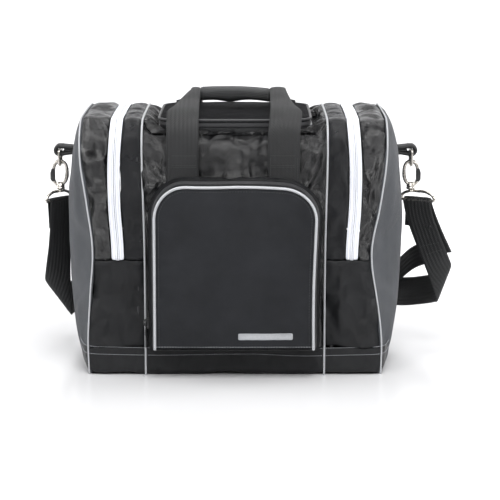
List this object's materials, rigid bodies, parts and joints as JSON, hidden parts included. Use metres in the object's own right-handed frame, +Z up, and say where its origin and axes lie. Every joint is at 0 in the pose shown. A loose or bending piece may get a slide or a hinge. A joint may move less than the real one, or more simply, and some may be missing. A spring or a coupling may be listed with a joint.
{
  "type": "single-ball bowling bag",
  "caption": "Zipped fabric bowling bag with a lid over a foam ball cup, a front pocket, end shoe pockets, wrapped carry handles and a clip-on shoulder strap.",
  "frame": {"origin": "middle of the bag's underside, on the floor", "axes": "+X towards the bag's right as seen from the front, front faces -Y, +Z up"},
  "size_m": [0.5147, 0.3214, 0.3316],
  "materials": {
    "twill_cloth": "matte woven polyester",
    "satin_cloth": "coated nylon with a soft shine",
    "grey_cloth": "matte woven polyester",
    "zipper_tape": "coated zipper tape",
    "piping": "metallic-thread cord",
    "webbing": "ribbed polypropylene webbing",
    "foam": "fabric-covered foam",
    "stiff_board": "plain",
    "plated_metal": "nickel-plated, lightly worn",
    "black_metal": "black enamel"
  },
  "bodies": {
    "bag": {"base_tray": "twill_cloth", "base_board": "stiff_board", "ball_cup": "foam", "front_panel": "satin_cloth", "back_panel": "satin_cloth", "deck_frame": "satin_cloth", "left_divider": "foam", "right_divider": "foam", "lid_zip_band": "twill_cloth", "pocket_gusset": "twill_cloth", "front_handle_left_anchor": "webbing", "front_handle_right_anchor": "webbing", "rear_handle_left_anchor": "webbing", "rear_handle_right_anchor": "webbing", "left_front_lower": "twill_cloth", "left_back_lower": "twill_cloth", "left_end_lower": "grey_cloth", "left_inner_gusset": "twill_cloth", "left_zip_inner_tape": "zipper_tape", "left_inner_piping": "piping", "right_front_lower": "twill_cloth", "right_back_lower": "twill_cloth", "right_end_lower": "grey_cloth", "right_inner_gusset": "twill_cloth", "right_zip_inner_tape": "zipper_tape", "right_inner_piping": "piping"},
    "lid": {"lid_rim": "twill_cloth", "lid_panel": "twill_cloth"},
    "pocket": {"pocket_flap": "twill_cloth", "pocket_piping": "piping"},
    "front_grip": {"front_handle": "webbing"},
    "rear_grip": {"rear_handle": "webbing", "grip_wrap": "webbing"},
    "left_flap": {"left_zip_outer_tape": "zipper_tape", "left_outer_gusset": "satin_cloth", "left_end_panel": "grey_cloth", "left_tab": "webbing", "left_strap_loop": "plated_metal", "strap_left": "webbing"},
    "left_ring": {"left_dring": "plated_metal"},
    "left_snap": {"left_hook": "plated_metal"},
    "left_gate": {"left_gate": "black_metal"},
    "right_flap": {"right_zip_outer_tape": "zipper_tape", "right_outer_gusset": "satin_cloth", "right_end_panel": "grey_cloth", "right_tab": "webbing", "right_strap_loop": "plated_metal", "strap_right": "webbing"},
    "right_ring": {"right_dring": "plated_metal"},
    "right_snap": {"right_hook": "plated_metal"},
    "right_gate": {"right_gate": "black_metal"},
    "adjuster": {"strap_adjuster": "black_metal"},
    "pocket_slider": {"pocket_slider": "black_metal"},
    "pocket_pull": {"pocket_pull": "black_metal"},
    "lid_slider": {"lid_slider": "black_metal"},
    "lid_pull": {"lid_pull": "black_metal"},
    "left_end_slider": {"left_end_slider": "black_metal"},
    "left_end_pull": {"left_end_pull": "black_metal"},
    "right_end_slider": {"right_end_slider": "black_metal"},
    "right_end_pull": {"right_end_pull": "black_metal"}
  },
  "joints": [
    {"name": "lid_hinge", "type": "hinge", "parent": "bag", "child": "lid", "pos_m": [0, 0.1042, 0.2967], "axis": [-1, 0, 0], "range_deg": [0, 105], "deforming": ["front_handle", "rear_handle", "grip_wrap"]},
    {"name": "pocket_hinge", "type": "hinge", "parent": "bag", "child": "pocket", "pos_m": [0, -0.1352, 0.035], "axis": [1, 0, 0], "range_deg": [0, 80]},
    {"name": "front_handle_fold", "type": "hinge", "parent": "bag", "child": "front_grip", "pos_m": [0, -0.1222, 0.2652], "axis": [1, 0, 0], "range_deg": [0, 110], "deforming": ["front_handle", "rear_handle", "grip_wrap"]},
    {"name": "rear_handle_fold", "type": "hinge", "parent": "bag", "child": "rear_grip", "pos_m": [0, 0.1222, 0.2652], "axis": [-1, 0, 0], "range_deg": [0, 110], "deforming": ["front_handle", "rear_handle", "grip_wrap"]},
    {"name": "left_end_hinge", "type": "hinge", "parent": "bag", "child": "left_flap", "pos_m": [-0.2077, 0, 0.141], "axis": [0, -1, 0], "range_deg": [0, 45], "deforming": ["strap_left"]},
    {"name": "left_ring_pivot", "type": "hinge", "parent": "left_flap", "child": "left_ring", "pos_m": [-0.217, 0.022, 0.253], "axis": [0, -1, 0], "range_deg": [-6, 6]},
    {"name": "left_hook_swivel", "type": "hinge", "parent": "left_flap", "child": "left_snap", "pos_m": [-0.217, 0.022, 0.2037], "axis": [0, 0, 1], "range_deg": [-20, 20]},
    {"name": "left_gate_hinge", "type": "hinge", "parent": "left_snap", "child": "left_gate", "pos_m": [-0.225, 0.022, 0.2147], "axis": [0, 1, 0], "range_deg": [0, 20], "stiffness_Nm_per_rad": 0.01, "springref_deg": -17.19},
    {"name": "right_end_hinge", "type": "hinge", "parent": "bag", "child": "right_flap", "pos_m": [0.2077, 0, 0.141], "axis": [0, 1, 0], "range_deg": [0, 45], "deforming": ["strap_right"]},
    {"name": "right_ring_pivot", "type": "hinge", "parent": "right_flap", "child": "right_ring", "pos_m": [0.217, 0.022, 0.253], "axis": [0, 1, 0], "range_deg": [-6, 6]},
    {"name": "right_hook_swivel", "type": "hinge", "parent": "right_flap", "child": "right_snap", "pos_m": [0.217, 0.022, 0.2037], "axis": [0, 0, 1], "range_deg": [-20, 20]},
    {"name": "right_gate_hinge", "type": "hinge", "parent": "right_snap", "child": "right_gate", "pos_m": [0.225, 0.022, 0.2147], "axis": [0, -1, 0], "range_deg": [0, 20], "stiffness_Nm_per_rad": 0.01, "springref_deg": -17.19},
    {"name": "adjuster_slide", "type": "slide", "parent": "bag", "child": "adjuster", "axis": [-0.9875, 0.028, -0.155], "range_m": [0, 0.06]},
    {"name": "pocket_zip", "type": "slide", "parent": "bag", "child": "pocket_slider", "axis": [0, 0, 1], "range_m": [0, 0.12]},
    {"name": "pocket_pull_hinge", "type": "hinge", "parent": "pocket_slider", "child": "pocket_pull", "pos_m": [-0.10525, -0.135, 0.0675], "axis": [0, 1, 0], "range_deg": [0, 150]},
    {"name": "lid_zip", "type": "slide", "parent": "bag", "child": "lid_slider", "axis": [0, -1, 0], "range_m": [0, 0.12]},
    {"name": "lid_pull_hinge", "type": "hinge", "parent": "lid_slider", "child": "lid_pull", "pos_m": [0.1033, 0.0605, 0.29515], "axis": [1, 0, 0], "range_deg": [0, 150]},
    {"name": "left_end_zip", "type": "slide", "parent": "bag", "child": "left_end_slider", "axis": [0, 0, 1], "range_m": [0, 0.125]},
    {"name": "left_end_pull_hinge", "type": "hinge", "parent": "left_end_slider", "child": "left_end_pull", "pos_m": [-0.145, 0.12405, 0.1535], "axis": [1, 0, 0], "range_deg": [0, 150]},
    {"name": "right_end_zip", "type": "slide", "parent": "bag", "child": "right_end_slider", "axis": [0, 0, 1], "range_m": [0, 0.125]},
    {"name": "right_end_pull_hinge", "type": "hinge", "parent": "right_end_slider", "child": "right_end_pull", "pos_m": [0.145, 0.12405, 0.1535], "axis": [1, 0, 0], "range_deg": [0, 150]}
  ]
}
